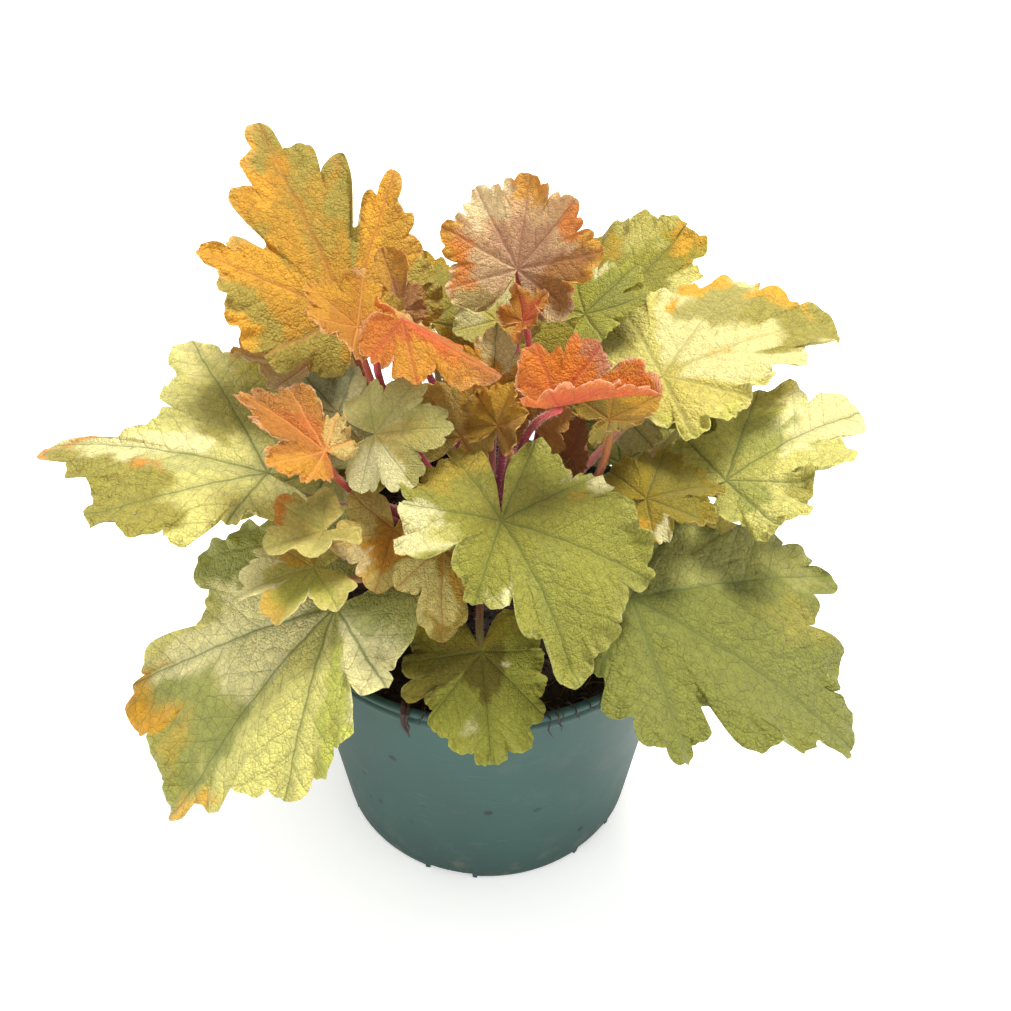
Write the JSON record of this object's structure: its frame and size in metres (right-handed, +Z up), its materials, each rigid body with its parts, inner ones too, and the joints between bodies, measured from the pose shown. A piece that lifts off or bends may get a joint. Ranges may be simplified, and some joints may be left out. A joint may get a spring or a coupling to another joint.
{
  "type": "heuchera plant in a nursery pot",
  "caption": "Potted heuchera: a rosette of lobed, ruffled lime, amber and coral leaves on thin burgundy stalks, in a tapered round plastic pot with drain notches.",
  "frame": {"origin": "middle of the pot's flat base, on the surface that the pot stands on", "axes": "+Z up along the pot's axis; the plant's fullest side faces -Y, with +X to its right"},
  "size_m": [0.3419, 0.2535, 0.2666],
  "materials": {
    "pot": "matte teal green",
    "soil": "damp crumbled potting compost",
    "stalk": "burgundy, finely haired",
    "lime": "satin lime green leaf with darker veins",
    "pale": "satin pale yellow leaf, bleached by the sun",
    "olive": "satin olive green leaf",
    "amber": "satin amber leaf with pale veins",
    "orange": "satin orange young leaf",
    "coral": "satin coral red young leaf",
    "copper": "satin copper brown young leaf"
  },
  "bodies": {
    "root": {"pot": "pot", "soil": "soil", "crown": "stalk", "leaf_front_right": "lime", "leaf_front_left": "lime", "leaf_left": "lime", "leaf_right_upper": "pale", "leaf_right_lower": "lime", "leaf_back_left_tall": "amber", "leaf_back_right": "olive", "leaf_front_middle": "lime", "leaf_front_low": "olive", "leaf_right_dark": "olive", "leaf_right_low": "lime", "leaf_right_shade": "olive", "leaf_back_low_1": "lime", "leaf_back_low_2": "olive", "leaf_left_low": "lime", "leaf_left_bright": "pale", "leaf_right_olive": "olive", "leaf_left_small": "pale", "leaf_front_amber": "amber", "leaf_left_amber": "amber", "leaf_left_fold": "pale", "leaf_left_grey": "olive", "leaf_left_brown": "amber", "leaf_centre_amber": "amber", "leaf_centre_gold": "amber", "leaf_centre_yellow": "olive", "leaf_back_grey": "olive", "leaf_back_pale": "pale", "leaf_back_olive": "olive", "leaf_right_amber": "amber", "leaf_right_curled": "olive", "leaf_copper_top": "copper", "leaf_orange_upper": "orange", "leaf_orange_folded": "coral", "leaf_red_folded": "coral", "leaf_red_small": "coral", "leaf_orange_left": "orange", "leaf_maroon_folded": "copper", "leaf_bud_left": "stalk", "leaf_bud_right": "stalk"}
  },
  "joints": []
}
